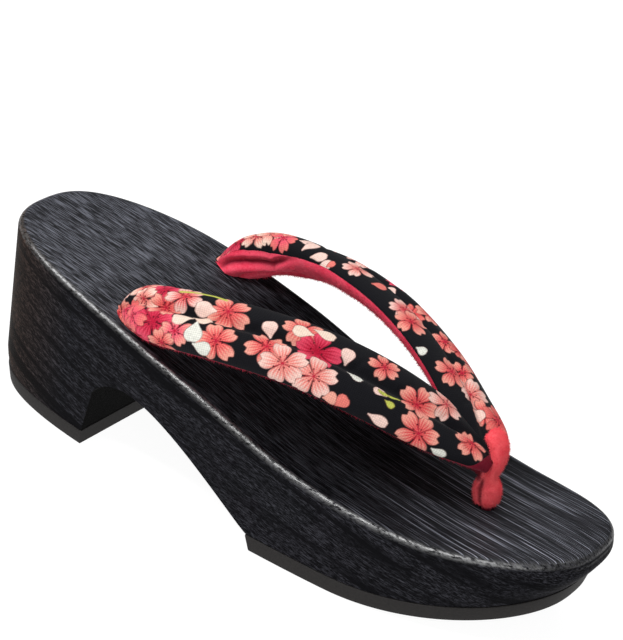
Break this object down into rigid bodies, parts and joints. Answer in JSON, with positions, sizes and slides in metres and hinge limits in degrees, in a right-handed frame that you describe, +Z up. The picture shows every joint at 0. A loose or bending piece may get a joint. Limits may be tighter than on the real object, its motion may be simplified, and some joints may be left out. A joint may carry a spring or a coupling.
{
  "type": "geta sandal",
  "caption": "Geta sandal with a carved black wooden base, raised heel, rubber treads, padded printed V strap with red velvet backing, and a red toe post.",
  "frame": {"origin": "on the floor under the middle of the sandal's bounding box", "axes": "+X to the toe along the length, +Y to the wearer's left, +Z up"},
  "size_m": [0.2432, 0.0968, 0.0773],
  "materials": {
    "stained_wood": "black stain with a satin sheen over raised lengthwise grain",
    "tread_rubber": "matt dark rubber",
    "printed_cotton": "matt black cotton printed with pink blossoms",
    "red_velvet": "short red nap"
  },
  "bodies": {
    "root": {"wood_base": "stained_wood", "heel_tread": "tread_rubber", "forefoot_tread": "tread_rubber", "strap_face": "printed_cotton", "strap_backing": "red_velvet", "toe_post": "red_velvet"}
  },
  "joints": []
}
